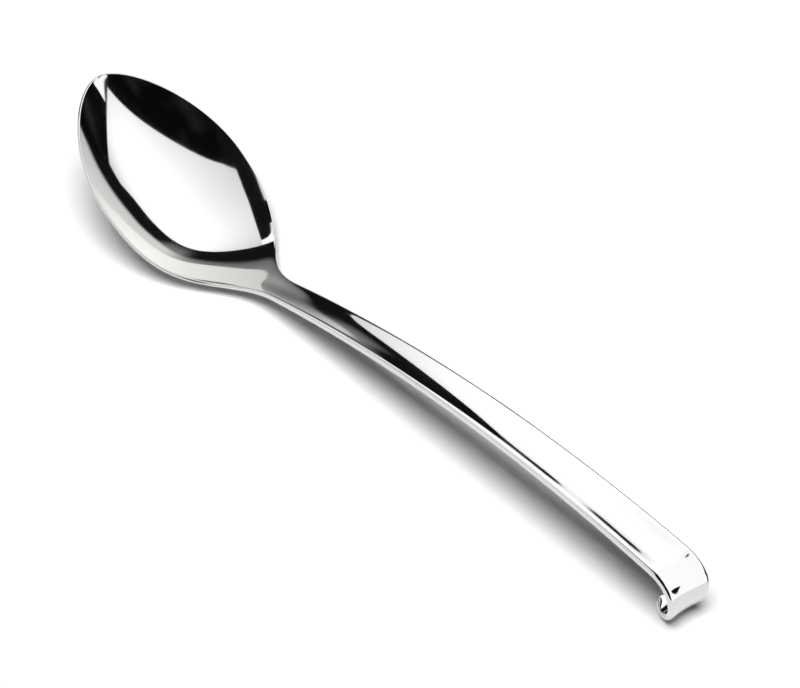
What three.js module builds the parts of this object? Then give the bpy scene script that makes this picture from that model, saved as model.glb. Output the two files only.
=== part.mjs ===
// Serving spoon pressed from one blank of polished stainless steel: a pointed oval bowl, a bent neck,
// an arched handle with a shallow hollow along its face, and an end curled under into a hook.
// One section is carried along one path in the XZ plane, so the bowl, the neck, the handle and the
// hook meet on shared sections. Millimetres, +X from the bowl's tip to the hook, +Y across, +Z up.
// The finished spoon lies on the table, z = 0, on its bowl and its hook.
import * as THREE from 'three';

// Path, measured along the rim and the edges of the strip from the bowl's tip
const neckBendStart = 56.7;     // straight rim before the neck bends up
const neckBendLength = 53.7;
const neckTurn = 40.1;          // degrees between the rim and the start of the handle
const archRadius = 596;         // the handle's arch
const handleEnd = 296.8;        // where the hook starts to curl
const hookRadius = 8.7;         // middle of the strip
const hookEase = 10;            // length over which the curl tightens to that radius
const hookTurn = 195;           // degrees

// Outline, half-widths
const bowlHalfWidth = 29.6;
const bellyAt = 48;             // widest point, from the tip
const tipBluntness = 11.7;      // how far the outline runs straight across at the tip
const bellyFrontReach = 25.5;   // how slowly the outline leaves its widest point, towards the tip
const bellyBackReach = 38.6;    // and towards the neck
const neckAt = 112;             // where the outline becomes the handle's
const neckReach = 26;           // length of the hollow curve into the neck
const neckHalfWidth = 5.87;
const handleHalfWidth = 8.5;    // at the hook
const narrowingFrom = 12.5;     // where the hook starts to narrow, past the start of its curl
const narrowingReach = 4;       // how slowly it starts
const lipBluntness = 6.3;       // how far the lip's end runs straight across

// Hollow of the bowl and of the handle's face, below the line between the two edges
const bowlDepth = 9.9;
const deepestAt = 53.2;
const tipSlope = 0.433;         // rise of the bowl's middle line at the tip
const tipReach = 16.8;
const deepFrontReach = 22;
const deepBackReach = 25.7;
const neckHollowReach = 36.3;
const neckHollow = 0.49;
const hookHollow = 0.66;
const wallEase = 0.027;         // share by which the bowl's walls straighten towards the rim
const stripEase = 0.48;         // and the strip's face towards its edges, which end level
const easesFrom = 80;           // the first share changes into the second between these two
const easesTo = 140;

// Thickness of the steel
const rimThickness = 1.1;
const bowlWall = 1.4;
const stripThickness = 2.5;
const thickensFrom = 60;        // the rim's thickness grows into the strip's between these two
const thickensTo = 160;
const edgeRadius = 0.4;
const restFlat = 0.25;          // taken off flat under the bowl and the hook, where they rest

// Where the four solids meet, along the path
const bowlEnd = 100;
const neckEnd = 138;
const endHalfWidth = 1.2;       // half-width at which the tip and the lip are closed

// Facets
const faceSteps = 16;
const cornerSteps = 2;
const bowlSteps = 32;
const neckSteps = 10;
const handleSteps = 18;
const hookSteps = 26;
const tipCrowding = 1.7;        // sections gather towards the tip
const middleCrowding = 1.3;     // points of a section gather towards its middle
const pathStep = 0.05;
const layTurns = 8;
const halvings = 50;

const neckSlope = (handleHalfWidth - neckHalfWidth) / (handleEnd - neckAt);
const curl = THREE.MathUtils.degToRad(hookTurn);
const lipStart = handleEnd + narrowingFrom;
const lipEnd = handleEnd + hookEase / 2 + hookRadius * curl;

const spot = ([x, y]) => new THREE.Vector2(x, y);
const bezier = (...points) => new THREE.CubicBezierCurve(...points.map(spot));

const bowlOutline = [
  bezier([0, 0], [0, tipBluntness],
    [bellyAt - bellyFrontReach, bowlHalfWidth], [bellyAt, bowlHalfWidth]),
  bezier([bellyAt, bowlHalfWidth], [bellyAt + bellyBackReach, bowlHalfWidth],
    [neckAt - neckReach, neckHalfWidth - neckSlope * neckReach], [neckAt, neckHalfWidth]),
];

const lipOutline = [
  bezier([lipStart, handleHalfWidth], [lipStart + narrowingReach, handleHalfWidth],
    [lipEnd, lipBluntness], [lipEnd, 0]),
];

const bowlHollow = [
  bezier([0, 0], [tipReach, tipReach * tipSlope],
    [deepestAt - deepFrontReach, bowlDepth], [deepestAt, bowlDepth]),
  bezier([deepestAt, bowlDepth], [deepestAt + deepBackReach, bowlDepth],
    [neckAt - neckHollowReach, neckHollow], [neckAt, neckHollow]),
];

// height of a chain of curves at a distance along the path, found by halving
function heightAt(chain, along) {
  const curve = chain.find((piece) => along <= piece.v3.x);
  let low = 0;
  let high = 1;
  for (let i = 0; i < halvings; i += 1) {
    const middle = (low + high) / 2;
    if (curve.getPoint(middle).x < along) low = middle;
    else high = middle;
  }
  return curve.getPoint((low + high) / 2).y;
}

const smooth = (t) => THREE.MathUtils.smootherstep(t, 0, 1);

// half-width of the outline: the bowl's curves, the handle's taper, then the narrowing lip
function halfWidthAt(along) {
  if (along <= neckAt) return heightAt(bowlOutline, along);
  if (along > lipStart) return heightAt(lipOutline, along);
  return neckHalfWidth + neckSlope * (Math.min(along, handleEnd) - neckAt);
}

const hollowAt = (along) => (along <= neckAt ? heightAt(bowlHollow, along)
  : THREE.MathUtils.mapLinear(Math.min(along, handleEnd), neckAt, handleEnd, neckHollow, hookHollow));

const easeAt = (along) => THREE.MathUtils.lerp(wallEase, stripEase,
  smooth((along - easesFrom) / (easesTo - easesFrom)));

const edgeThicknessAt = (along) => THREE.MathUtils.lerp(rimThickness, stripThickness,
  smooth((along - thickensFrom) / (thickensTo - thickensFrom)));

const middleThicknessAt = (along) => THREE.MathUtils.lerp(bowlWall, stripThickness,
  smooth((along - deepestAt) / (neckAt - deepestAt)));

// direction of the path: up through the neck, down over the arch, round the hook
function headingAt(along) {
  const neck = THREE.MathUtils.degToRad(neckTurn) * smooth((along - neckBendStart) / neckBendLength);
  const arch = Math.max(along - neckBendStart - neckBendLength, 0) / archRadius;
  const past = Math.max(along - handleEnd, 0);
  const hook = past < hookEase ? (past * past) / (2 * hookEase) : past - hookEase / 2;
  return neck - arch - hook / hookRadius;
}

// points of the path at rising distances, by adding up short steps
function walk(stations) {
  const point = new THREE.Vector2();
  let along = 0;
  return stations.map((target) => {
    const steps = Math.ceil((target - along) / pathStep);
    const step = steps > 0 ? (target - along) / steps : 0;
    for (let i = 0; i < steps; i += 1) {
      const heading = headingAt(along + step / 2);
      point.add(new THREE.Vector2(Math.cos(heading), Math.sin(heading)).multiplyScalar(step));
      along += step;
    }
    return { along: target, point: point.clone(), heading: headingAt(target) };
  });
}

// closed outline of the steel across the path, left to right over the face and back underneath
function section(along) {
  const halfWidth = halfWidthAt(along);
  const depth = hollowAt(along) * Math.min(1, halfWidth / neckHalfWidth);
  const edge = edgeThicknessAt(along);
  const middle = middleThicknessAt(along);
  const ease = easeAt(along);
  const lean = Math.sin(Math.atan2((2 - 4 * ease) * depth, halfWidth));
  const reach = halfWidth - edgeRadius - (edge / 2 - edgeRadius) * lean;
  const across = Array.from({ length: faceSteps + 1 }, (_, i) => (2 * i) / faceSteps - 1)
    .map((u) => Math.sign(u) * Math.abs(u) ** middleCrowding);
  const wall = across.map((v) => {
    const rise = (1 + ease) * v ** 2 - ease * v ** 6;
    const slope = 2 * (1 + ease) * v - 6 * ease * v ** 5;
    const tilt = Math.atan2(depth * slope, reach);
    return {
      centre: new THREE.Vector2(reach * v, depth * (rise - 1)),
      along: new THREE.Vector2(Math.cos(tilt), Math.sin(tilt)),
      out: new THREE.Vector2(-Math.sin(tilt), Math.cos(tilt)),
      half: THREE.MathUtils.lerp(middle, edge, v ** 2) / 2,
    };
  });
  const side = (at, sign) => at.centre.clone().addScaledVector(at.out, sign * at.half);
  const corner = (at, end, sign) => Array.from({ length: cornerSteps }, (_, i) => {
    const turn = ((i + 1) / cornerSteps) * (Math.PI / 2);
    return at.centre.clone()
      .addScaledVector(at.out, sign * (at.half - edgeRadius + edgeRadius * Math.cos(turn)))
      .addScaledVector(at.along, end * edgeRadius * Math.sin(turn));
  });
  const left = wall[0];
  const right = wall[faceSteps];
  return [
    ...wall.map((at) => side(at, 1)),
    ...corner(right, 1, 1),
    ...corner(right, 1, -1).reverse(),
    ...wall.map((at) => side(at, -1)).reverse(),
    ...corner(left, -1, -1),
    ...corner(left, -1, 1).reverse(),
  ];
}

// the section stood up on the path
function ring({ along, point, heading }) {
  const up = new THREE.Vector2(-Math.sin(heading), Math.cos(heading));
  return section(along).map(({ x, y }) => {
    const place = point.clone().addScaledVector(up, y);
    return new THREE.Vector3(place.x, x, place.y);
  });
}

// distance from the tip, or from the lip's end, at which the outline has the closing half-width
function closingDistance(widthAtDistance, limit) {
  let low = 0;
  let high = limit;
  for (let i = 0; i < halvings; i += 1) {
    const middle = (low + high) / 2;
    if (widthAtDistance(middle) < endHalfWidth) low = middle;
    else high = middle;
  }
  return (low + high) / 2;
}

const tipStart = closingDistance((distance) => halfWidthAt(distance), bellyAt);
const lipStop = lipEnd - closingDistance((distance) => halfWidthAt(lipEnd - distance), lipEnd - lipStart);

const spread = (from, to, steps, shape) => Array.from({ length: steps + 1 },
  (_, i) => from + (to - from) * shape(i / steps));

const even = (t) => t;
const stations = {
  bowl: spread(tipStart, bowlEnd, bowlSteps, (t) => t ** tipCrowding),
  neck: spread(bowlEnd, neckEnd, neckSteps, even),
  handle: spread(neckEnd, handleEnd, handleSteps, even),
  hook: spread(handleEnd, lipStop, hookSteps, (t) => Math.sin((t * Math.PI) / 2)),
};

const rings = {};
let begun = [];
for (const [name, distances] of Object.entries(stations)) {
  const whole = walk([...begun, ...distances]);
  rings[name] = whole.slice(begun.length).map(ring);
  begun = [...begun, ...distances];
}

// lays the spoon on the table: turned about Y until bowl and hook are equally low, then lowered, centred
function layDown() {
  const points = Object.values(rings).flat(2);
  const lowest = (name) => rings[name].flat().reduce((low, point) => (point.z < low.z ? point : low));
  for (let i = 0; i < layTurns; i += 1) {
    const bowlFoot = lowest('bowl');
    const hookFoot = lowest('hook');
    const turn = Math.atan2(hookFoot.z - bowlFoot.z, hookFoot.x - bowlFoot.x);
    points.forEach((point) => point.applyAxisAngle(new THREE.Vector3(0, 1, 0), turn));
  }
  const box = new THREE.Box3().setFromPoints(points);
  const middle = (box.min.x + box.max.x) / 2;
  points.forEach((point) => {
    point.x -= middle;
    point.z = Math.max(point.z - box.min.z - restFlat, 0);
  });
}

layDown();

// closed body through a run of sections, with a flat end at each of them
function loft(sections) {
  const size = sections[0].length;
  const positions = sections.flat().flatMap(({ x, y, z }) => [x, y, z]);
  const faces = [];
  for (let i = 0; i < sections.length - 1; i += 1) {
    for (let k = 0; k < size; k += 1) {
      const next = (k + 1) % size;
      const here = i * size;
      const there = here + size;
      faces.push(here + k, there + k, here + next);
      faces.push(here + next, there + k, there + next);
    }
  }
  // an end is closed by strips between the face and the underside
  const last = (sections.length - 1) * size;
  const over = faceSteps + cornerSteps;
  for (let k = -cornerSteps; k < over; k += 1) {
    const face = (k + size) % size;
    const faceNext = (k + 1 + size) % size;
    const under = faceSteps + 2 * cornerSteps + faceSteps + 1 - k;
    const underNext = under - 1;
    const quad = [face, faceNext, underNext % size, under % size];
    faces.push(quad[0], quad[1], quad[2], quad[0], quad[2], quad[3]);
    const far = quad.map((index) => last + index);
    faces.push(far[0], far[2], far[1], far[0], far[3], far[2]);
  }
  const geometry = new THREE.BufferGeometry();
  geometry.setAttribute('position', new THREE.Float32BufferAttribute(positions, 3));
  geometry.setIndex(faces);
  geometry.computeVertexNormals();
  return geometry;
}

const spoon = new THREE.Group();
for (const [name, sections] of Object.entries(rings)) {
  const steel = new THREE.MeshStandardMaterial({ color: 0xd8d9da, roughness: 0.06, metalness: 1 });
  const mesh = new THREE.Mesh(loft(sections), steel);
  mesh.name = name;
  spoon.add(mesh);
}

export default spoon;
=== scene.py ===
import math

import bpy
import numpy as np
from mathutils import Matrix, Vector


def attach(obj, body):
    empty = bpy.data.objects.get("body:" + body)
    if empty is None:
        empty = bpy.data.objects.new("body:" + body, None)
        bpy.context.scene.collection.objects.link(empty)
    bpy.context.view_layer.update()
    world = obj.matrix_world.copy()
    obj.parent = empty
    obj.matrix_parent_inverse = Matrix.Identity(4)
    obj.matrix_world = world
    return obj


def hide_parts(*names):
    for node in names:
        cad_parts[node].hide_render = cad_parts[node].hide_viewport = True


# Polished steel serving spoon on a white table. All shape values are millimetres and degrees.
# One section is carried along one path, so bowl, neck, handle and hook share their end rings.

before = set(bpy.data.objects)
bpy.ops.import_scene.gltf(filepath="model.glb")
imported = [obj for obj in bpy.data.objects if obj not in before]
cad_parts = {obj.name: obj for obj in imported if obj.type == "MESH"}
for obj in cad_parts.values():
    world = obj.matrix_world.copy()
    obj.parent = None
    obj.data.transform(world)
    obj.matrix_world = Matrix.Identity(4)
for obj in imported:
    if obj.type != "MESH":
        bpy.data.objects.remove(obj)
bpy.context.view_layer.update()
print("frame loaded:", ", ".join(sorted(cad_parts)))

metre = 0.001   # metres in a millimetre

# the path runs along the rim and the strip's edges, from the bowl's tip to the hook's lip
path = {
    "neckBendStart": 56.7,
    "neckBendLength": 53.7,
    "neckTurn": 40.1,
    "archRadius": 596.0,
    "layTurn": 27.59776,              # turns the spoon until belly and hook lie level
    "layShift": (-150.24500, 40.66323),   # then moves it onto the table's middle
    "restAt": 0.0,                    # height of the table
}

bowl = {
    "end": 100.0,
    "halfWidth": 29.87,
    "bellyAt": 48.0,
    "tipBluntness": 11.7,
    "bellyFrontReach": 25.5,
    "bellyBackReach": 38.6,
    "depth": 9.9,
    "deepestAt": 53.2,
    "tipSlope": 0.433,
    "tipReach": 16.8,
    "deepFrontReach": 22.0,
    "deepBackReach": 25.7,
    "neckHollowReach": 36.3,
    "wallEase": 0.027,                # how far the walls level out towards the rim
    "widthShare": 0.975,              # the hollow's width against the outline's
    "rim": 1.1,
    "wall": 1.4,
    "rows": 200,
    "rowsGather": 1.8,                # 1 is even, higher is denser at the tip
}

neck = {
    "end": 138.0,
    "at": 112.0,
    "reach": 26.0,
    "halfWidth": 5.87,
    "thickensFrom": 60.0,
    "thickensTo": 160.0,
    "hollow": 0.49,
    "easesFrom": 80.0,                # from the bowl's section to the strip's
    "easesTo": 140.0,
    "rows": 44,
}

handle = {
    "end": 296.8,
    "halfWidth": 8.5,
    "wallEase": 0.44,                 # the strip's face lies level along its edges
    "widthShare": 0.94,
    "easeAtHook": 0.30,               # less so before the hook
    "easeChanges": (205.0, 245.0),
    "deepensAlong": (212, 224, 236, 251, 261, 272, 282, 291, 297, 303),
    "deepensBy": (0, 0.03, 0.133, 0.27, 0.30, 0.467, 0.552, 0.607, 0.42, 0),   # pressed deeper before the hook
    "thickness": 2.5,
    "rows": 130,
}

hook = {
    "radius": 8.7,
    "ease": 10.0,
    "turn": 195.0,
    "narrowingFrom": 12.5,
    "narrowingReach": 4.0,
    "lipBluntness": 6.3,
    "hollow": 0.66,
    "rows": 130,
    "rowsGather": 1.5,                # denser at the lip
}

# buffed edges: a rounded shoulder that starts gently on the face and turns round the side
edge = {
    "rollOnRim": 0.5,
    "rollOnStrip": 1.6,
    "fullness": 3.2,                  # 2 is an ellipse, higher is squarer
    "steps": 37,
    "faceColumns": 81,
    "columnGather": 0.8,              # 0 is even, 1 is densest along the face's edges
    "narrowest": 0.5,                 # half-width that the thickness is never spread over less than
    "probe": 0.01,                    # step either way for the face's normals
    "runProbe": 0.0001,               # step either way along the rim, in run numbers
}

curl = math.radians(hook["turn"])
lipStart = handle["end"] + hook["narrowingFrom"]
lipEnd = handle["end"] + hook["ease"] / 2 + hook["radius"] * curl
taper = (handle["halfWidth"] - neck["halfWidth"]) / (handle["end"] - neck["at"])


# straight line as a cubic curve, with its two handles at the thirds
def straight(a, b):
    a, b = np.array(a, float), np.array(b, float)
    return [a, a + (b - a) / 3, b - (b - a) / 3, b]


# outline in five cubic curves, (distance along, half-width): tip, shoulder, taper, even strip, lip
outlineCurves = np.array([
    [(0, 0), (0, bowl["tipBluntness"]),
     (bowl["bellyAt"] - bowl["bellyFrontReach"], bowl["halfWidth"]), (bowl["bellyAt"], bowl["halfWidth"])],
    [(bowl["bellyAt"], bowl["halfWidth"]), (bowl["bellyAt"] + bowl["bellyBackReach"], bowl["halfWidth"]),
     (neck["at"] - neck["reach"], neck["halfWidth"] - taper * neck["reach"]), (neck["at"], neck["halfWidth"])],
    straight((neck["at"], neck["halfWidth"]), (handle["end"], handle["halfWidth"])),
    straight((handle["end"], handle["halfWidth"]), (lipStart, handle["halfWidth"])),
    [(lipStart, handle["halfWidth"]), (lipStart + hook["narrowingReach"], handle["halfWidth"]),
     (lipEnd, hook["lipBluntness"]), (lipEnd, 0)],
], float)

# depth of the hollow in four cubic curves: rise behind the tip, run-out to the neck, strip, hook
hollowCurves = np.array([
    [(0, 0), (bowl["tipReach"], bowl["tipReach"] * bowl["tipSlope"]),
     (bowl["deepestAt"] - bowl["deepFrontReach"], bowl["depth"]), (bowl["deepestAt"], bowl["depth"])],
    [(bowl["deepestAt"], bowl["depth"]), (bowl["deepestAt"] + bowl["deepBackReach"], bowl["depth"]),
     (neck["at"] - bowl["neckHollowReach"], neck["hollow"]), (neck["at"], neck["hollow"])],
    straight((neck["at"], neck["hollow"]), (handle["end"], hook["hollow"])),
    straight((handle["end"], hook["hollow"]), (lipEnd, hook["hollow"])),
], float)


# cubic curves by their four points: run number and part from 0 to 1 give the point and its rate
def onCurves(curves, run):
    piece = np.clip(np.floor(run).astype(int), 0, len(curves) - 1)
    t = (run - piece)[:, None]
    a, b, c, d = np.moveaxis(curves[piece], 1, 0)
    u = 1 - t
    point = u ** 3 * a + 3 * u * u * t * b + 3 * u * t * t * c + t ** 3 * d
    rate = 3 * (u * u * (b - a) + 2 * u * t * (c - b) + t * t * (d - c))
    return point, rate


halvings = 56   # down to the last digits of a run number


# run number at which a rising function reaches each wanted value, by halving
def findRun(reached, wanted, last):
    low = np.zeros_like(wanted)
    high = np.full_like(wanted, last)
    for _ in range(halvings):
        middle = (low + high) / 2
        under = reached(middle) < wanted
        low = np.where(under, middle, low)
        high = np.where(under, high, middle)
    return (low + high) / 2


# second value of the curves at the run number where their first is the wanted distance
def heightOn(curves, along):
    run = findRun(lambda r: onCurves(curves, r)[0][:, 0], along, float(len(curves)))
    return onCurves(curves, run)[0][:, 1]


# rises from 0 to 1 with no jump in slope or bend: 6 t^5 - 15 t^4 + 10 t^3
def easeStep(t):
    t = np.clip(t, 0, 1)
    return t ** 3 * (t * (6 * t - 15) + 10)


# thickness along the sides: the rim's, eased into the strip's
def edgeThickness(along):
    share = easeStep((along - neck["thickensFrom"]) / (neck["thickensTo"] - neck["thickensFrom"]))
    return bowl["rim"] + (handle["thickness"] - bowl["rim"]) * share


# thickness along the middle: the bowl's wall, eased into the strip's behind the deepest place
def middleThickness(along):
    share = easeStep((along - bowl["deepestAt"]) / (neck["at"] - bowl["deepestAt"]))
    return bowl["wall"] + (handle["thickness"] - bowl["wall"]) * share


# direction of the path: up through the neck, less the distance over the arch's radius,
# less the distance over the hook's radius once its turn has eased in
def headingOf(along):
    bend = math.radians(path["neckTurn"]) * easeStep((along - path["neckBendStart"]) / path["neckBendLength"])
    arch = np.maximum(along - path["neckBendStart"] - path["neckBendLength"], 0) / path["archRadius"]
    past = np.maximum(along - handle["end"], 0)
    ease = hook["ease"]
    turned = np.where(past < ease, past ** 2 / (2 * ease), past - ease / 2) / hook["radius"]
    return bend - arch - turned


# path points every quarter millimetre, by four-point Gauss sums of the heading
knotStep = 0.25
knots = np.arange(0, lipEnd + 2 * knotStep, knotStep)
gaussSpots, gaussWeights = np.polynomial.legendre.leggauss(4)
gaussAt = headingOf(knots[:-1, None] + knotStep * (gaussSpots + 1) / 2)
gaussSteps = np.stack([np.cos(gaussAt), np.sin(gaussAt)], -1)
knotMoves = (gaussSteps * gaussWeights[:, None]).sum(1) * knotStep / 2
knotPoints = np.concatenate([np.zeros((1, 2)), np.cumsum(knotMoves, 0)])


# point of the path between two knots, by the cubic that keeps the heading at both
def pathPoint(along):
    i = np.clip((along / knotStep).astype(int), 0, len(knots) - 2)
    t = ((along - knots[i]) / knotStep)[:, None]
    rate = lambda s: np.stack([np.cos(headingOf(s)), np.sin(headingOf(s))], -1) * knotStep
    return ((1 + 2 * t) * (1 - t) ** 2 * knotPoints[i] + t * (1 - t) ** 2 * rate(knots[i])
            + t * t * (3 - 2 * t) * knotPoints[i + 1] + t * t * (t - 1) * rate(knots[i + 1]))


# even curve through given points, with slopes from their neighbours; flat before and after them
def through(spots, values, at):
    spots, values = np.array(spots, float), np.array(values, float)
    slopes = np.concatenate([[0], (values[2:] - values[:-2]) / (spots[2:] - spots[:-2]), [0]])
    i = np.clip(np.searchsorted(spots, at) - 1, 0, len(spots) - 2)
    step = spots[i + 1] - spots[i]
    t = np.clip((at - spots[i]) / step, 0, 1)
    return ((1 + 2 * t) * (1 - t) ** 2 * values[i] + t * (1 - t) ** 2 * step * slopes[i]
            + t * t * (3 - 2 * t) * values[i + 1] + t * t * (t - 1) * step * slopes[i + 1])


# a value that passes from the bowl's to the strip's through the neck
def bowlToStrip(key, along):
    share = easeStep((along - neck["easesFrom"]) / (neck["easesTo"] - neck["easesFrom"]))
    return bowl[key] + (handle[key] - bowl[key]) * share


# levelling of the walls: the bowl's into the strip's, then eased to the one before the hook
def easeAt(along):
    start, end = handle["easeChanges"]
    share = easeStep((along - start) / (end - start))
    return bowlToStrip("wallEase", along) + (handle["easeAtHook"] - handle["wallEase"]) * share


# upper face: across the path the hollow is (1 + k) v^2 - k v^6 - 1 times its depth,
# lifted by half the thickness square to that curve, then stood up on the path and laid on the table
def faceAt(along, across, sheetHalf):
    column = lambda values: values[:, None]
    width = column(heightOn(outlineCurves, along) * bowlToStrip("widthShare", along))
    lip = np.minimum(heightOn(outlineCurves, along) / handle["halfWidth"], 1)
    deeper = through(handle["deepensAlong"], handle["deepensBy"], along)
    depth = column((heightOn(hollowCurves, along) + deeper) * np.where(along > lipStart, lip ** 2, 1))
    k = column(easeAt(along))
    v = across / width
    tilt = np.arctan2(depth * (2 * (1 + k) * v - 6 * k * v ** 5), width)
    part = np.clip(across / column(sheetHalf), -1, 1) ** 2
    share = part * (2 - part)
    half = (column(middleThickness(along)) * (1 - share) + column(edgeThickness(along)) * share) / 2
    height = depth * ((1 + k) * v ** 2 - k * v ** 6 - 1) + np.cos(tilt) * half
    y = across - np.sin(tilt) * half
    heading = column(headingOf(along))
    spot = pathPoint(along)
    x = column(spot[:, 0]) - np.sin(heading) * height
    z = column(spot[:, 1]) + np.cos(heading) * height
    turn = math.radians(path["layTurn"])
    laidX = x * math.cos(turn) + z * math.sin(turn) + path["layShift"][0]
    laidZ = z * math.cos(turn) - x * math.sin(turn) + path["layShift"][1]
    return np.stack([laidX, y, laidZ], -1), 2 * half


# every vector over its own length
def unit(v):
    return v / np.linalg.norm(v, axis=-1, keepdims=True)


# width of the rounded shoulder: from the rim's to the strip's in step with the sides' thickness
def rollAt(along):
    share = (edgeThickness(along) - bowl["rim"]) / (handle["thickness"] - bowl["rim"])
    return edge["rollOnRim"] + (edge["rollOnStrip"] - edge["rollOnRim"]) * share


tiny = 1e-9       # keeps divisions off nought
tipRun = 0.02     # below this run number the outline runs square to the path
lipRun = 4        # run number where the lip's curve begins
lastRun = 5.0     # and where it ends


# edge of the face: the outline moved in by what the rounded shoulder reaches out, which is
# the power mean of its two half-axes, leaned over by the wall's slope
def faceEdge(run):
    point, rate = onCurves(outlineCurves, run)
    along, width = np.clip(point[:, 0], tiny, lipEnd), np.maximum(point[:, 1], tiny)
    length = np.hypot(rate[:, 0], rate[:, 1])
    k = easeAt(along)
    lean = heightOn(hollowCurves, along) * (2 - 4 * k) / width * length / np.maximum(rate[:, 0], tiny)
    tipLean = bowl["tipSlope"] * (1 - 2 * k)
    lean = np.arctan(np.where(run < tipRun, tipLean, np.where(run > lipRun, 0, lean)))
    half = edgeThickness(along) / 2
    q = edge["fullness"] / (edge["fullness"] - 1)
    out = ((rollAt(along) * np.cos(lean)) ** q + (half * np.sin(lean)) ** q) ** (1 / q) + half * np.sin(lean)
    return point + out[:, None] * np.stack([rate[:, 1], -rate[:, 0]], -1) / length[:, None]


tipAlong = float(faceEdge(np.array([0.0]))[0, 0])
lipAlong = float(faceEdge(np.array([lastRun]))[0, 0])


# rings of the steel at rising distances: face, right shoulder, underside, left shoulder.
# The normals are the face's rates crossed; the shoulder is a super-ellipse whose normal turns evenly
def ringsAt(along):
    run = findRun(lambda r: faceEdge(r)[:, 0], along, lastRun)
    sheetHalf = np.maximum(faceEdge(run)[:, 1], 0)
    gather = math.pi / 2 * edge["columnGather"]
    v = np.sin(np.linspace(-1, 1, edge["faceColumns"]) * gather) / math.sin(gather)
    across = sheetHalf[:, None] * v
    spreadOver = np.maximum(sheetHalf, edge["narrowest"])
    face, thick = faceAt(along, across, spreadOver)
    probe, runProbe = edge["probe"], edge["runProbe"]
    ahead = faceAt(along + probe, across, spreadOver)[0]
    behind = faceAt(along - probe, across, spreadOver)[0]
    right = faceAt(along, across + probe, spreadOver)[0]
    left = faceAt(along, across - probe, spreadOver)[0]
    normal = unit(np.cross(ahead - behind, right - left))
    under = face - normal * thick[..., None]

    # shoulder in the plane square to the rim: roll out along 'out', down along the face's normal
    before, after = faceEdge(run - runProbe), faceEdge(run + runProbe)
    rimBefore = faceAt(before[:, 0], before[:, 1:2], spreadOver)[0][:, 0]
    rimAfter = faceAt(after[:, 0], after[:, 1:2], spreadOver)[0][:, 0]
    rimWay = unit(rimAfter - rimBefore)
    rightNormal = normal[:, -1]
    out = unit(np.cross(rightNormal, rimWay))
    roll, half = rollAt(along), thick[:, -1] / 2
    turnTo = np.linspace(0, math.pi, edge["steps"] + 2)[1:-1]
    power = edge["fullness"]
    ratio = (np.abs(np.tan(turnTo)) * (roll / half)[:, None]) ** (power / (2 * (power - 1)))
    sine = ratio / np.sqrt(1 + ratio ** 2)
    cosine = np.where(turnTo < math.pi / 2, 1, -1) / np.sqrt(1 + ratio ** 2)
    reach = (roll[:, None] * sine ** (2 / power))[..., None]
    drop = (half[:, None] * (1 - np.sign(cosine) * np.abs(cosine) ** (2 / power)))[..., None]
    shoulder = face[:, -1:] + reach * out[:, None] - drop * rightNormal[:, None]
    shoulderNormal = unit(np.sin(turnTo)[:, None] * out[:, None] + np.cos(turnTo)[:, None] * rightNormal[:, None])
    mirror = np.array([1, -1, 1])
    rings = np.concatenate([face, shoulder, under[:, ::-1], (shoulder * mirror)[:, ::-1]], 1)
    normals = np.concatenate([normal, shoulderNormal, -normal[:, ::-1], (shoulderNormal * mirror)[:, ::-1]], 1)
    wear = np.concatenate([np.zeros_like(v), np.sin(turnTo), np.zeros_like(v), np.sin(turnTo)[::-1]])
    overEdge = sheetHalf[:, None] + reach[..., 0] + drop[..., 0]
    unrolled = np.concatenate([across, overEdge, across[:, ::-1], -overEdge[:, ::-1]], 1)
    flat = rings[..., 2] < path["restAt"]
    rings[..., 2] = np.maximum(rings[..., 2], path["restAt"])
    normals[flat] = (0, 0, -1)
    return rings, normals, np.broadcast_to(wear, rings.shape[:2]), unrolled


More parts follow.
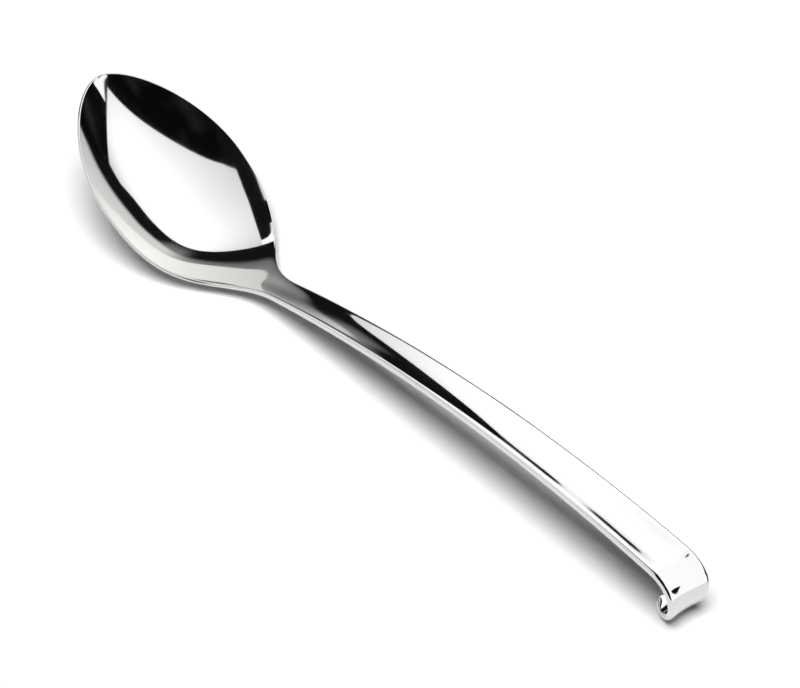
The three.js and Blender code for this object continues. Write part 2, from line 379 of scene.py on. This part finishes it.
# closed skin over a run of rings; an end is a rounded point or a flat cut
def steelPiece(name, along, pointAtStart=False, pointAtEnd=False):
    rings, normals, wear, unrolled = ringsAt(along)
    rows, size = rings.shape[:2]
    columns, steps = edge["faceColumns"], edge["steps"]
    order = np.arange(rows * size).reshape(rows, size)
    weld = order.copy()
    rightSide = np.arange(columns, columns + steps)
    underside = np.arange(columns + steps, 2 * columns + steps)
    leftSide = np.arange(2 * columns + steps, size)

    # at a rounded point the ring folds flat: its two sides become one
    for row, pointed in ((0, pointAtStart), (rows - 1, pointAtEnd)):
        if pointed:
            weld[row, :columns] = order[row, columns // 2]
            weld[row, underside] = order[row, underside[columns // 2]]
            weld[row, leftSide] = order[row, rightSide[::-1]]
            rings[row, :, 1] = 0
            normals[row, :, 1] = 0
    beside = np.roll(weld, -1, 1)
    quads = [np.stack([weld[:-1], weld[1:], beside[1:], beside[:-1]], -1).reshape(-1, 4)]

    # a flat cut is closed by quads between the ring's upper and lower half
    middle = steps // 2
    upper = np.concatenate([leftSide[middle:], np.arange(columns), rightSide[:middle + 1]])
    lower = np.concatenate([leftSide[middle::-1], underside[::-1], rightSide[:middle - 1:-1]])
    for row, pointed, flip in ((0, pointAtStart, False), (rows - 1, pointAtEnd, True)):
        if not pointed:
            over, below = weld[row, upper], weld[row, lower]
            cut = np.stack([over[:-1], over[1:], below[1:], below[:-1]], -1)
            quads.append(cut[:, ::-1] if flip else cut)
    skin = len(quads[0])

    # quads with two corners in one place become triangles, those with more vanish
    allQuads = np.concatenate(quads)
    isCut = np.arange(len(allQuads)) >= skin
    same = allQuads == np.roll(allQuads, -1, 1)
    count = same.sum(1)
    whole = allQuads[count == 0]
    wholeCut = isCut[count == 0]
    keptCorners = np.array([[1, 2, 3], [0, 2, 3], [0, 1, 3], [0, 1, 2]])
    single = count == 1
    thirds = np.take_along_axis(allQuads[single], keptCorners[same[single].argmax(1)], 1)
    thirdCut = isCut[single]
    used, index = np.unique(np.concatenate([whole.ravel(), thirds.ravel()]), return_inverse=True)
    index = index.ravel()
    spots = rings.reshape(-1, 3)[used] * metre
    spotNormals = unit(normals.reshape(-1, 3)[used])
    wholeFaces = index[:whole.size].reshape(-1, 4)
    thirdFaces = index[whole.size:].reshape(-1, 3)

    mesh = bpy.data.meshes.new(name)
    mesh.from_pydata(spots.tolist(), [], wholeFaces.tolist() + thirdFaces.tolist())
    corner = np.concatenate([wholeFaces.ravel(), thirdFaces.ravel()])
    cutCorner = np.concatenate([np.repeat(wholeCut, 4), np.repeat(thirdCut, 3)])
    faceNormals = np.zeros(len(mesh.polygons) * 3)
    mesh.polygons.foreach_get("normal", faceNormals)
    ownNormals = np.repeat(faceNormals.reshape(-1, 3), np.concatenate(
        [np.full(len(wholeFaces), 4), np.full(len(thirdFaces), 3)]), 0)
    mesh.polygons.foreach_set("use_smooth", np.ones(len(mesh.polygons), bool))
    mesh.normals_split_custom_set(np.where(cutCorner[:, None], ownNormals, spotNormals[corner]).tolist())

    # flat map of the strip, in metres: distance along it and across it, for the buffing lines
    flatMap = mesh.uv_layers.new(name="strip")
    longways = np.broadcast_to(along[:, None], rings.shape[:2]).ravel()[used] * metre
    sides = unrolled.reshape(-1)[used] * metre
    flatMap.data.foreach_set("uv", np.stack([longways[corner], sides[corner]], -1).ravel())
    worn = mesh.attributes.new("edgeWear", "FLOAT", "POINT")
    worn.data.foreach_set("value", wear.reshape(-1)[used].astype(np.float32))
    mesh.update()
    piece = bpy.data.objects.new(name, mesh)
    bpy.context.scene.collection.objects.link(piece)
    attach(piece, "root")
    print(name, "rings", rows, "faces", len(mesh.polygons))
    return piece


# distances that gather towards their start: even parts from 0 to 1, raised to the power
def gathered(start, end, rows, power):
    return start + (end - start) * np.linspace(0, 1, rows) ** power


bowlRows = gathered(tipAlong, bowl["end"], bowl["rows"], bowl["rowsGather"])
hookRows = gathered(lipAlong, handle["end"], hook["rows"], hook["rowsGather"])[::-1]
bowlPiece = steelPiece("spoonBowl", bowlRows, pointAtStart=True)
neckPiece = steelPiece("spoonNeck", np.linspace(bowl["end"], neck["end"], neck["rows"]))
handlePiece = steelPiece("spoonHandle", np.linspace(neck["end"], handle["end"], handle["rows"]))
hookPiece = steelPiece("spoonHook", hookRows, pointAtEnd=True)
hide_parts("bowl")
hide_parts("neck")
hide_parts("handle")
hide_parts("hook")

# mirror polish: faint lengthwise buffing lines, patches of slightly duller polish, brushed edges
polish = {
    "colour": (0.71, 0.705, 0.695, 1),
    "wornColour": (0.66, 0.655, 0.645, 1),
    "roughness": 0.035,
    "edgeRoughness": 0.10,
    "lineScale": 900.0,
    "lineStretch": 0.02,
    "lineDetail": 4,
    "lineGrain": 0.7,
    "lineBump": 0.00000035,           # metres
    "lineShare": 0.5,                 # roughness the lines add, against the polish's
    "patchScale": 60.0,
    "patchDetail": 3,
    "patchFrom": (0.35, 0.75),        # noise values at the brightest and the dullest patches
    "patchTo": (0.7, 1.5),            # and their roughness against the polish's
    "patchTint": 0.5,                 # how far the patches go over to the worn colour
}


# roughness: the patches', plus a share of the lines', plus the edge's where the steel is worn
def polishedSteel():
    material = bpy.data.materials.new("polishedSteel")
    material.use_nodes = True
    nodes, links = material.node_tree.nodes, material.node_tree.links
    shader = nodes["Principled BSDF"]
    shader.inputs["Metallic"].default_value = 1.0
    spot = nodes.new("ShaderNodeUVMap")
    spot.uv_map = "strip"
    stretch = nodes.new("ShaderNodeMapping")
    stretch.inputs["Scale"].default_value = (polish["lineStretch"], 1, 1)
    links.new(spot.outputs["UV"], stretch.inputs["Vector"])
    lines = nodes.new("ShaderNodeTexNoise")
    lines.inputs["Scale"].default_value = polish["lineScale"]
    lines.inputs["Detail"].default_value = polish["lineDetail"]
    lines.inputs["Roughness"].default_value = polish["lineGrain"]
    links.new(stretch.outputs["Vector"], lines.inputs["Vector"])
    place = nodes.new("ShaderNodeTexCoord")
    patches = nodes.new("ShaderNodeTexNoise")
    patches.inputs["Scale"].default_value = polish["patchScale"]
    patches.inputs["Detail"].default_value = polish["patchDetail"]
    links.new(place.outputs["Object"], patches.inputs["Vector"])
    worn = nodes.new("ShaderNodeAttribute")
    worn.attribute_name = "edgeWear"
    dull = nodes.new("ShaderNodeMapRange")
    dull.inputs["From Min"].default_value, dull.inputs["From Max"].default_value = polish["patchFrom"]
    dull.inputs["To Min"].default_value = polish["roughness"] * polish["patchTo"][0]
    dull.inputs["To Max"].default_value = polish["roughness"] * polish["patchTo"][1]
    links.new(patches.outputs["Fac"], dull.inputs["Value"])
    lineDull = nodes.new("ShaderNodeMath")
    lineDull.operation = "MULTIPLY_ADD"
    lineDull.inputs[1].default_value = polish["roughness"] * polish["lineShare"]
    links.new(lines.outputs["Fac"], lineDull.inputs[0])
    links.new(dull.outputs["Result"], lineDull.inputs[2])
    edgeDull = nodes.new("ShaderNodeMath")
    edgeDull.operation = "MULTIPLY_ADD"
    edgeDull.inputs[1].default_value = polish["edgeRoughness"] - polish["roughness"]
    links.new(worn.outputs["Fac"], edgeDull.inputs[0])
    links.new(lineDull.outputs["Value"], edgeDull.inputs[2])
    links.new(edgeDull.outputs["Value"], shader.inputs["Roughness"])
    tint = nodes.new("ShaderNodeMix")
    tint.data_type = "RGBA"
    tint.inputs["A"].default_value = polish["colour"]
    tint.inputs["B"].default_value = polish["wornColour"]
    tintShare = nodes.new("ShaderNodeMath")
    tintShare.operation = "MULTIPLY"
    tintShare.inputs[1].default_value = polish["patchTint"]
    links.new(patches.outputs["Fac"], tintShare.inputs[0])
    links.new(tintShare.outputs["Value"], tint.inputs["Factor"])
    links.new(tint.outputs["Result"], shader.inputs["Base Color"])
    bump = nodes.new("ShaderNodeBump")
    bump.inputs["Strength"].default_value = 1.0
    bump.inputs["Distance"].default_value = polish["lineBump"]
    links.new(lines.outputs["Fac"], bump.inputs["Height"])
    links.new(bump.outputs["Normal"], shader.inputs["Normal"])
    return material


steel = polishedSteel()
for piece in (bowlPiece, neckPiece, handlePiece, hookPiece):
    piece.data.materials.append(steel)
print("steel polished")

# camera in front of the spoon and to its right, looking down with a long lens
view = {
    "eye": (0.736691, -0.638, 0.825286),   # metres
    "bearing": 48.6454,
    "elevation": 39.7125,
    "roll": 1.3548,
    "lens": 172.8,
    "sensor": 36.0,
    "seesTo": 50,                          # metres
}


# back along the view by bearing and elevation, level at right angles to it, then both turned by the roll
def cameraAxes():
    a, e, r = (math.radians(view[key]) for key in ("bearing", "elevation", "roll"))
    back = np.array([math.sin(a) * math.cos(e), -math.cos(a) * math.cos(e), math.sin(e)])
    level = np.array([math.cos(a), math.sin(a), 0])
    upright = np.cross(back, level)
    right = level * math.cos(r) + upright * math.sin(r)
    return right, np.cross(back, right), back


right, upright, back = cameraAxes()
camera = bpy.data.objects.new("camera", bpy.data.cameras.new("camera"))
camera.data.sensor_fit = "HORIZONTAL"
camera.data.sensor_width = view["sensor"]
camera.data.lens = view["lens"]
camera.data.clip_end = view["seesTo"]
placed = np.eye(4)
placed[:3, 0], placed[:3, 1], placed[:3, 2], placed[:3, 3] = right, upright, back, view["eye"]
camera.matrix_world = Matrix(placed.tolist())
bpy.context.scene.collection.objects.link(camera)
bpy.context.scene.camera = camera

# studio round the spoon: metres in the spoon's frame; 'away' is the level way from the camera,
# 'sideways' the picture's right. The cards are only seen in the steel
studio = {
    "floorHalf": 12.0,
    "floorDrop": 0.00005,             # keeps the table clear of the spoon's flats
    "floorColour": (0.76, 0.76, 0.76, 1),
    "floorRoughness": 0.9,
    "softboxHeight": 0.311,
    "softboxCorners": ((0.1720, 0.2017), (-0.0463, 0.6176), (-0.5393, 0.1364), (-0.0686, -0.1265)),
    "softboxMiddle": (-0.10, 0.23, 0.311),
    "softboxGlow": 1.92,              # at its middle
    "softboxFade": 2.7,               # lost for every metre from the middle
    "backdropAway": 0.183,
    "backdropTop": 0.11,
    "backdropSideways": (-0.5, 0.037),
    "leftCard": ((0.0734, -0.2835, 0.56), (-0.6689, 0.1311, 0.56)),     # two ends with their heights
    "rightCard": ((0.235, 0.020, 0.150), (0.161, 0.146, 0.240)),
    "farRightCard": ((0.161, 0.146, 0.266), (0.100, 0.250, 0.272)),
    "hookCard": ((0.195, 0.040, 0.170), (0.118, 0.062, 0.170)),
    "darkCard": ((0.030, 0.033, 0.032), (0.187, 0.033, 0.032)),         # draws the handle's far edge
    "darkCorner": ((0.030, 0.033, 0.046), (0.075, 0.033, 0.032)),       # and more strongly at the neck
    "cardGlow": 1.4,
    "keyLamp": (195.0, 75.0, 43.0, 4.45),      # bearing (0 is away from the camera), rise, width, strength
    "roomGlow": 0.008,
    "roomRadius": 1.1,
    "plainSteps": 4,                  # squares along each side of a card
    "softboxSteps": 40,
    "shadedSteps": 100,
    "roomSteps": 120,
}

away = np.array([-math.sin(math.radians(view["bearing"])), math.cos(math.radians(view["bearing"])), 0])
sideways = np.array([away[1], -away[0], 0])


# one flat sheet between four corners
def sheetOf(name, corners):
    mesh = bpy.data.meshes.new(name)
    mesh.from_pydata([tuple(c) for c in corners], [], [(0, 1, 2, 3)])
    sheet = bpy.data.objects.new(name, mesh)
    bpy.context.scene.collection.objects.link(sheet)
    return sheet


# matt paper with no shine of its own
def paper(name, colour, roughness):
    material = bpy.data.materials.new(name)
    material.use_nodes = True
    shader = material.node_tree.nodes["Principled BSDF"]
    shader.inputs["Base Color"].default_value = colour
    shader.inputs["Roughness"].default_value = roughness
    shader.inputs["Specular IOR Level"].default_value = 0.0
    return material


# card cloth that glows as its points say
def glowCloth():
    material = bpy.data.materials.new("cardCloth")
    material.use_nodes = True
    nodes, links = material.node_tree.nodes, material.node_tree.links
    nodes.remove(nodes["Principled BSDF"])
    level = nodes.new("ShaderNodeAttribute")
    level.attribute_name = "glow"
    cloth = nodes.new("ShaderNodeEmission")
    links.new(level.outputs["Fac"], cloth.inputs["Strength"])
    links.new(cloth.outputs["Emission"], nodes["Material Output"].inputs["Surface"])
    return material


cardCloth = glowCloth()


# card between four corners, bilinear, with the glow worked out at every point
def glowCard(name, corners, glowAt, steps, bend=lambda points: points):
    a, b, c, d = np.array(corners, float)
    u, w = np.meshgrid(np.linspace(0, 1, steps + 1), np.linspace(0, 1, steps + 1), indexing="ij")
    u, w = u[..., None], w[..., None]
    points = ((1 - u) * ((1 - w) * a + w * d) + u * ((1 - w) * b + w * c)).reshape(-1, 3)
    points = bend(points)
    index = np.arange((steps + 1) ** 2).reshape(steps + 1, steps + 1)
    quads = np.stack([index[:-1, :-1], index[1:, :-1], index[1:, 1:], index[:-1, 1:]], -1).reshape(-1, 4)
    mesh = bpy.data.meshes.new(name)
    mesh.from_pydata(points.tolist(), [], quads.tolist())
    mesh.attributes.new("glow", "FLOAT", "POINT").data.foreach_set("value", glowAt(points).astype(np.float32))
    mesh.materials.append(cardCloth)
    card = bpy.data.objects.new(name, mesh)
    bpy.context.scene.collection.objects.link(card)
    card.visible_camera = False
    card.visible_diffuse = False
    card.visible_shadow = False
    return card


# corners of a card that stands on the table between two ends, with a height at each
def standing(ends):
    (ax, ay, aTop), (bx, by, bTop) = ends
    return [(ax, ay, 0), (bx, by, 0), (bx, by, bTop), (ax, ay, aTop)]


# the same glow all over
def evenGlow(level):
    return lambda points: np.full(len(points), level)


# brightest at the lamp behind the cloth, less its fade times the distance from it
def softboxGlow(points):
    return studio["softboxGlow"] - studio["softboxFade"] * np.linalg.norm(points - studio["softboxMiddle"], axis=1)


# backdrop behind the spoon, by metres across the picture and metres over the table
backdrop = {
    "levelAt": (-0.12, -0.08, -0.055, -0.03, -0.015, 0.0, 0.012, 0.03),     # places across
    "level": (0.38, 0.42, 0.50, 0.84, 0.95, 0.88, 0.78, 0.73),              # and the glow there
    "liftAt": (-0.15, -0.09, -0.05, 0.0, 0.008, 0.018, 0.026, 0.037),       # places across
    "lift": (-0.006, -0.002, 0.002, 0.0, -0.003, -0.009, -0.010, -0.020),   # and how far the upper edge is raised
    "edge": (0.074, 0.065),                                                 # heights where it ends and is full
    "dimAt": (0.032, 0.045, 0.058, 0.072),                                  # heights
    "dim": (1.0, 0.68, 0.52, 0.32),                                         # and the share of the glow there
    "dimAcross": (-0.010, -0.036),                                          # where the dimming begins and is full
    "tailAt": (0.060, 0.067, 0.078, 0.088, 0.098, 0.110),                   # heights
    "tail": (0.0, 0.25, 0.23, 0.17, 0.09, 0.0),                             # and the faint glow above the edge
    "tailAcrossAt": (-0.045, -0.036, -0.024, -0.005, 0.004),                # places across
    "tailAcross": (0.0, 0.1, 1.0, 1.0, 0.0),                                # and the share of that glow
}


# level across, dimmer upwards behind the neck, ending at an uneven edge with a faint tail above it
def backdropGlow(points):
    across = points @ sideways
    height = points[:, 2] - np.interp(across, backdrop["liftAt"], backdrop["lift"])
    top, full = backdrop["edge"]
    lit = np.clip((top - height) / (top - full), 0, 1)
    begins, ends = backdrop["dimAcross"]
    turn = np.clip((across - begins) / (ends - begins), 0, 1)
    dim = 1 + turn * (np.interp(points[:, 2], backdrop["dimAt"], backdrop["dim"]) - 1)
    tail = np.interp(height, backdrop["tailAt"], backdrop["tail"])
    tail = tail * np.interp(across, backdrop["tailAcrossAt"], backdrop["tailAcross"])
    level = np.interp(across, backdrop["levelAt"], backdrop["level"])
    return level * dim * lit + tail * (1 - lit) + studio["roomGlow"]


# the dim room as a dome: bearing and height over the table become a point at its radius
def onDome(points):
    turn, lift = math.pi * points[:, 0], math.pi / 2 * points[:, 1]
    level = np.cos(lift)
    return studio["roomRadius"] * np.stack([level * np.cos(turn), level * np.sin(turn), np.sin(lift)], -1)


# clouds of the dim room; a wave is (times the bearing, times the height, shift)
clouds = {
    "large": ((5, 3, 0), (-2, 9, 1)),
    "small": ((13, -7, 2), (4, 17, 0)),
    "smallShare": 0.6,
    "ground": 0.45,                   # glow between the clouds, against the room's
    "gain": 1.3,
    "power": 1.5,
    "most": 2,
}


# cloudy greys: a large and a small product of two waves over the bearing and the height
def domeGlow(points):
    turn = np.arctan2(points[:, 1], points[:, 0])
    lift = np.arcsin(np.clip(points[:, 2] / studio["roomRadius"], 0, 1))
    wave = lambda row: np.sin(row[0] * turn + row[1] * lift + row[2])
    product = lambda key: wave(clouds[key][0]) * wave(clouds[key][1])
    cloud = product("large") + clouds["smallShare"] * product("small")
    return studio["roomGlow"] * (clouds["ground"] + clouds["gain"] * np.clip(cloud, 0, clouds["most"]) ** clouds["power"])


# left card, by metres along it and metres over the table
leftShade = {
    "topAt": (0.0, 0.30, 0.35, 0.45, 0.48, 0.60, 0.66, 0.72, 0.80, 0.85),
    "top": (0.362, 0.364, 0.26, 0.26, 0.370, 0.372, 0.40, 0.45, 0.53, 0.56),   # where the white ends
    "levelAt": (0, 0.10, 0.22, 0.36),
    "level": (0.55, 0.62, 0.85, 1),   # share of the cards' glow
    "softness": 0.004,
}


# white up to an edge that dips where the neck sees it, dimmer towards the table
def leftGlow(points):
    run = np.linalg.norm(points[:, :2] - np.array(studio["leftCard"][0][:2]), axis=1)
    top = np.interp(run, leftShade["topAt"], leftShade["top"])
    level = studio["cardGlow"] * np.interp(points[:, 2], leftShade["levelAt"], leftShade["level"])
    return studio["roomGlow"] + level * np.clip((top - points[:, 2]) / leftShade["softness"], 0, 1)


side, floorAt = studio["floorHalf"], -studio["floorDrop"]
floorCorners = [(-side, -side, floorAt), (side, -side, floorAt), (side, side, floorAt), (-side, side, floorAt)]
floorSheet = sheetOf("floor", floorCorners)
floorSheet.data.materials.append(paper("tablePaper", studio["floorColour"], studio["floorRoughness"]))

softboxCorners = [(x, y, studio["softboxHeight"]) for x, y in studio["softboxCorners"]]
glowCard("softbox", softboxCorners, softboxGlow, studio["softboxSteps"])
backdropSpots = [away * studio["backdropAway"] + sideways * x for x in studio["backdropSideways"]]
backdropEnds = [(spot[0], spot[1], studio["backdropTop"]) for spot in backdropSpots]
glowCard("backdrop", standing(backdropEnds), backdropGlow, studio["shadedSteps"])
glowCard("roomDome", [(-1, 0, 0), (1, 0, 0), (1, 1, 0), (-1, 1, 0)], domeGlow, studio["roomSteps"], onDome)
for name in ("darkCard", "darkCorner"):
    glowCard(name, standing(studio[name]), evenGlow(studio["roomGlow"]), studio["plainSteps"])
glowCard("leftCard", standing(studio["leftCard"]), leftGlow, studio["shadedSteps"])
for name in ("rightCard", "farRightCard", "hookCard"):
    glowCard(name, standing(studio[name]), evenGlow(studio["cardGlow"]), studio["plainSteps"])


# distant lamp for the table's shadow, not seen in the steel: bearing and rise give its way, width its disc
def distantLamp(name, bearing, rise, width, strength):
    turn, lift = math.radians(bearing), math.radians(rise)
    way = (away * math.cos(turn) + sideways * math.sin(turn)) * math.cos(lift) + np.array([0, 0, math.sin(lift)])
    lamp = bpy.data.objects.new(name, bpy.data.lights.new(name, "SUN"))
    lamp.data.angle = math.radians(width)
    lamp.data.energy = strength
    lamp.location = way
    lamp.rotation_euler = Vector(way.tolist()).to_track_quat("Z", "Y").to_euler()
    lamp.visible_glossy = False
    bpy.context.scene.collection.objects.link(lamp)


distantLamp("keyLamp", *studio["keyLamp"])

world = bpy.data.worlds.new("room")
bpy.context.scene.world = world
world.use_nodes = True
world.node_tree.nodes["Background"].inputs["Color"].default_value = (1, 1, 1, 1)
world.node_tree.nodes["Background"].inputs["Strength"].default_value = studio["roomGlow"]

bpy.context.scene.view_settings.view_transform = "Standard"
print("studio lit")
